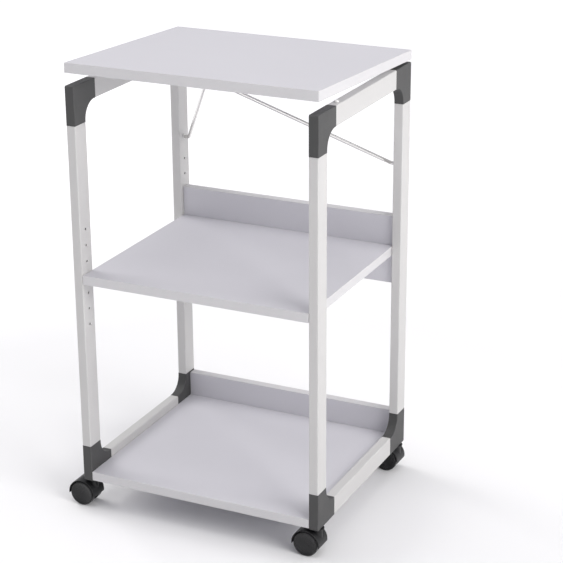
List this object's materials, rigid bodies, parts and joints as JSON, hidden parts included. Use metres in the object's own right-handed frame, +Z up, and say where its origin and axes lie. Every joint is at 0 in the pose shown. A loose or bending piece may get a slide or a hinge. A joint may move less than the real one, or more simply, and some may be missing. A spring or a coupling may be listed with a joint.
{
  "type": "mobile projector stand",
  "caption": "Mobile stand of flat steel tube on twin-wheel casters, with shelves, rear panels and a top board that tilts on a wire prop.",
  "frame": {"origin": "on the floor, under the middle of the stand's overall box as it stands", "axes": "+Z up, -Y the open front where the raised edge of the top is, +X to the right seen from the front"},
  "size_m": [0.5475, 0.433, 0.8998],
  "materials": {
    "laminate": "light grey melamine-faced chipboard, fine satin texture, plastic edge band",
    "tube_paint": "light silver-grey powder coat, satin",
    "corner_plastic": "dark grey moulded plastic, fine matt grain",
    "caster_plastic": "black moulded nylon, semi-gloss",
    "wheel_plastic": "black moulded wheel, semi-gloss face",
    "zinc_steel": "bright zinc plate",
    "wire_steel": "light grey coated steel wire, satin",
    "white_nylon": "white nylon"
  },
  "bodies": {
    "frame": {"leg_front_left": "tube_paint", "leg_front_right": "tube_paint", "leg_rear_left": "tube_paint", "leg_rear_right": "tube_paint", "bottom_rail_left": "tube_paint", "bottom_rail_right": "tube_paint", "top_rail_left": "tube_paint", "top_rail_right": "tube_paint", "bottom_connector_front_left": "corner_plastic", "bottom_connector_front_right": "corner_plastic", "bottom_connector_rear_left": "corner_plastic", "bottom_connector_rear_right": "corner_plastic", "top_connector_front_left": "corner_plastic", "top_connector_front_right": "corner_plastic", "top_connector_rear_left": "corner_plastic", "top_connector_rear_right": "corner_plastic", "bottom_shelf": "laminate", "bottom_rear_panel": "laminate", "middle_shelf": "laminate", "middle_rear_panel": "laminate", "shelf_bolt_left": "zinc_steel", "shelf_cam_left": "zinc_steel", "panel_bolt_left": "zinc_steel", "panel_cam_left": "zinc_steel", "hinge_pin_left": "zinc_steel", "rest_pad_left": "white_nylon", "prop_bush_left": "white_nylon", "shelf_bolt_right": "zinc_steel", "shelf_cam_right": "zinc_steel", "panel_bolt_right": "zinc_steel", "panel_cam_right": "zinc_steel", "hinge_pin_right": "zinc_steel", "rest_pad_right": "white_nylon", "prop_bush_right": "white_nylon", "caster_stem_front_left": "zinc_steel", "caster_stem_front_right": "zinc_steel", "caster_stem_rear_left": "zinc_steel", "caster_stem_rear_right": "zinc_steel"},
    "top": {"top_board": "laminate", "hinge_bracket_left": "zinc_steel", "hinge_bracket_right": "zinc_steel", "prop_guide": "corner_plastic"},
    "prop": {"prop_wire": "wire_steel"},
    "caster_front_left": {"caster_hood_front_left": "caster_plastic", "caster_axle_front_left": "zinc_steel"},
    "wheel_front_left_a": {"caster_wheel_front_left_a": "wheel_plastic"},
    "wheel_front_left_b": {"caster_wheel_front_left_b": "wheel_plastic"},
    "caster_front_right": {"caster_hood_front_right": "caster_plastic", "caster_axle_front_right": "zinc_steel"},
    "wheel_front_right_a": {"caster_wheel_front_right_a": "wheel_plastic"},
    "wheel_front_right_b": {"caster_wheel_front_right_b": "wheel_plastic"},
    "caster_rear_left": {"caster_hood_rear_left": "caster_plastic", "caster_axle_rear_left": "zinc_steel"},
    "wheel_rear_left_a": {"caster_wheel_rear_left_a": "wheel_plastic"},
    "wheel_rear_left_b": {"caster_wheel_rear_left_b": "wheel_plastic"},
    "caster_rear_right": {"caster_hood_rear_right": "caster_plastic", "caster_axle_rear_right": "zinc_steel"},
    "wheel_rear_right_a": {"caster_wheel_rear_right_a": "wheel_plastic"},
    "wheel_rear_right_b": {"caster_wheel_rear_right_b": "wheel_plastic"}
  },
  "joints": [
    {"name": "top_tilt", "type": "hinge", "parent": "frame", "child": "top", "pos_m": [0.01625, 0.203, 0.847], "axis": [-1, 0, 0], "range_deg": [-2.66, 9.34]},
    {"name": "prop_swing", "type": "hinge", "parent": "frame", "child": "prop", "pos_m": [0.01625, 0.196, 0.657], "axis": [-1, 0, 0], "range_deg": [-2.7, 9.2]},
    {"name": "caster_swivel_front_left", "type": "hinge", "parent": "frame", "child": "caster_front_left", "pos_m": [-0.22825, -0.196, 0.05], "axis": [0, 0, 1], "continuous": true},
    {"name": "wheel_spin_front_left_a", "type": "hinge", "parent": "caster_front_left", "child": "wheel_front_left_a", "pos_m": [-0.24525, -0.196, 0.025], "axis": [0, 1, 0], "continuous": true},
    {"name": "wheel_spin_front_left_b", "type": "hinge", "parent": "caster_front_left", "child": "wheel_front_left_b", "pos_m": [-0.24525, -0.196, 0.025], "axis": [0, 1, 0], "continuous": true},
    {"name": "caster_swivel_front_right", "type": "hinge", "parent": "frame", "child": "caster_front_right", "pos_m": [0.26075, -0.196, 0.05], "axis": [0, 0, 1], "continuous": true},
    {"name": "wheel_spin_front_right_a", "type": "hinge", "parent": "caster_front_right", "child": "wheel_front_right_a", "pos_m": [0.24375, -0.196, 0.025], "axis": [0, 1, 0], "continuous": true},
    {"name": "wheel_spin_front_right_b", "type": "hinge", "parent": "caster_front_right", "child": "wheel_front_right_b", "pos_m": [0.24375, -0.196, 0.025], "axis": [0, 1, 0], "continuous": true},
    {"name": "caster_swivel_rear_left", "type": "hinge", "parent": "frame", "child": "caster_rear_left", "pos_m": [-0.22825, 0.196, 0.05], "axis": [0, 0, 1], "continuous": true},
    {"name": "wheel_spin_rear_left_a", "type": "hinge", "parent": "caster_rear_left", "child": "wheel_rear_left_a", "pos_m": [-0.24525, 0.196, 0.025], "axis": [0, 1, 0], "continuous": true},
    {"name": "wheel_spin_rear_left_b", "type": "hinge", "parent": "caster_rear_left", "child": "wheel_rear_left_b", "pos_m": [-0.24525, 0.196, 0.025], "axis": [0, 1, 0], "continuous": true},
    {"name": "caster_swivel_rear_right", "type": "hinge", "parent": "frame", "child": "caster_rear_right", "pos_m": [0.26075, 0.196, 0.05], "axis": [0, 0, 1], "continuous": true},
    {"name": "wheel_spin_rear_right_a", "type": "hinge", "parent": "caster_rear_right", "child": "wheel_rear_right_a", "pos_m": [0.24375, 0.196, 0.025], "axis": [0, 1, 0], "continuous": true},
    {"name": "wheel_spin_rear_right_b", "type": "hinge", "parent": "caster_rear_right", "child": "wheel_rear_right_b", "pos_m": [0.24375, 0.196, 0.025], "axis": [0, 1, 0], "continuous": true}
  ],
  "couplings": [
    {"joint": "prop_swing", "follows": "top_tilt", "ratio": 0.965}
  ]
}
